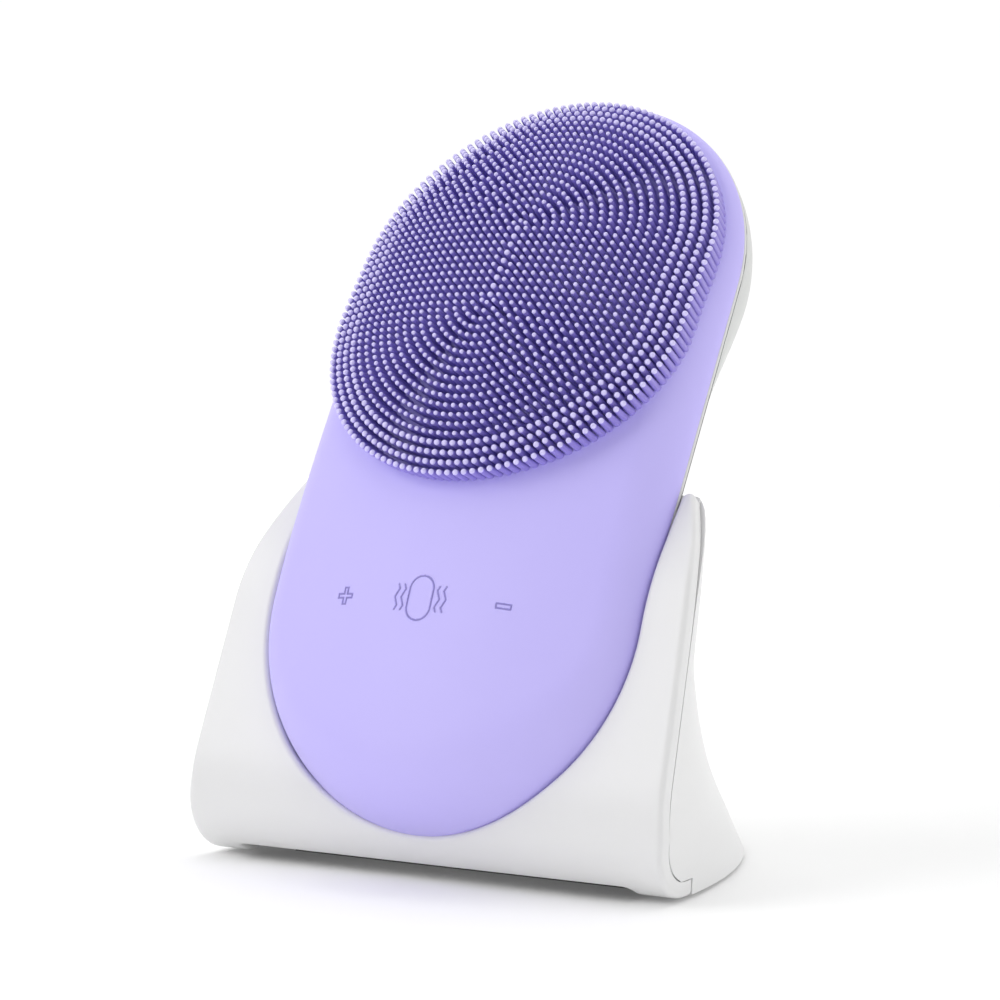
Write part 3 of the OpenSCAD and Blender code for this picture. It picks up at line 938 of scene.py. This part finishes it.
build_panel()
smooth_copy("rear_shell", "rear_cover", M_WHITE, "stand", "stand_white", 32.0, snap_shell, 3.0)
smooth_copy("cradle_tray", "cradle_bowl", M_WHITE, "stand", "stand_white", 32.0, snap_tray, 2.5)
smooth_copy("front_frame", "carrier", M_INNER, "handset", "inner_plastic", 32.0, snap_frame, 3.0)
build_skin()
build_pads()
build_bristles()
build_trim()
build_back()

# ------------------------------------------------------------------ camera and studio
AZ, EL = math.radians(31.3), math.radians(4.7)
BACK = np.array([math.sin(AZ) * math.cos(EL), -math.cos(AZ) * math.cos(EL), math.sin(EL)])
RIGHT = np.array([math.cos(AZ), math.sin(AZ), 0.0])
UP = np.cross(BACK, RIGHT)
F = 3500.0
DIST = F / 9.85 * ROW                          # mm from the field's middle to the camera
C0 = ((502.3 - 500) * RIGHT / F - (259.3 - 500) * UP / F - BACK) * DIST
cam_at = (FIELD - C0) * MM
cam_data = bpy.data.cameras.new("camera")
cam_data.sensor_width = 36.0
cam_data.lens = F / 1000.0 * 36.0
cam_data.clip_start = 0.01
cam = bpy.data.objects.new("camera", cam_data)
scene.collection.objects.link(cam)
cam.matrix_world = Matrix([
    [RIGHT[0], UP[0], BACK[0], cam_at[0]],
    [RIGHT[1], UP[1], BACK[1], cam_at[1]],
    [RIGHT[2], UP[2], BACK[2], cam_at[2]],
    [0, 0, 0, 1]])
scene.camera = cam

floor_me = bpy.data.meshes.new("floor")
s = 4.0
floor_me.from_pydata([(-s, -s, 0), (s, -s, 0), (s, s, 0), (-s, s, 0)], [], [(0, 1, 2, 3)])
floor = bpy.data.objects.new("floor", floor_me)
scene.collection.objects.link(floor)
m, nt, bsdf = new_mat("floor_white")
co = tex_coord(nt)
nt.links.new(ramp(nt, noise(nt, co, 3.0, 2.0), [(0.3, (0.93, 0.93, 0.93)), (0.7, (0.95, 0.95, 0.95))]), bsdf.inputs["Base Color"])
bsdf.inputs["Roughness"].default_value = 0.75
# the floor glows through its emission, painted light: weak near the stand and stronger farther out, so the far floor
# turns white
bsdf.inputs["Emission Color"].default_value = (1.0, 1.0, 1.0, 1.0)
far = nt.nodes.new("ShaderNodeVectorMath")
far.operation = "LENGTH"
nt.links.new(co, far.inputs[0])
floor_painted_light = nt.nodes.new("ShaderNodeMapRange")
for k, val in (("From Min", 0.09), ("From Max", 0.45), ("To Min", 0.06), ("To Max", 0.34)):
    floor_painted_light.inputs[k].default_value = val
nt.links.new(far.outputs["Value"], floor_painted_light.inputs["Value"])
nt.links.new(floor_painted_light.outputs["Result"], bsdf.inputs["Emission Strength"])
bsdf.inputs["Specular IOR Level"].default_value = 0.2
floor_me.materials.append(m)

world = bpy.data.worlds.new("studio")
scene.world = world
world.use_nodes = True
bg = world.node_tree.nodes["Background"]
bg.inputs["Color"].default_value = (1.0, 1.0, 1.0, 1.0)
bg.inputs["Strength"].default_value = 0.30


def area(name, at, look, size, power, color=(1, 1, 1)):
    d = bpy.data.lights.new(name, "AREA")
    d.shape = "RECTANGLE"
    d.size, d.size_y = size
    d.energy = power
    d.color = color
    o = bpy.data.objects.new(name, d)
    scene.collection.objects.link(o)
    o.location = at
    o.rotation_euler = (Vector(at) - Vector(look)).to_track_quat("Z", "Y").to_euler()
    return o


area("key", (-0.60, -0.65, 0.60), (0, 0, 0.05), (0.75, 0.75), 4.4)
area("fill", (0.80, -0.50, 0.30), (0, 0, 0.06), (0.5, 0.6), 1.15)
area("top", (-0.10, 0.15, 1.2), (0, 0.1, 0.0), (1.3, 1.1), 5.8)

# plain white wall far behind
wall_me = bpy.data.meshes.new("backdrop")
wall_me.from_pydata([(-6, 0.62, -0.02), (6, 0.62, -0.02), (6, 0.62, 4), (-6, 0.62, 4)], [], [(0, 1, 2, 3)])
wall = bpy.data.objects.new("backdrop", wall_me)
scene.collection.objects.link(wall)
wm = bpy.data.materials.new("backdrop_white")
wm.use_nodes = True
wn = wm.node_tree
wn.nodes.clear()
em = wn.nodes.new("ShaderNodeEmission")
em.inputs["Strength"].default_value = 1.02
wo = wn.nodes.new("ShaderNodeOutputMaterial")
wn.links.new(em.outputs["Emission"], wo.inputs["Surface"])
wall_me.materials.append(wm)
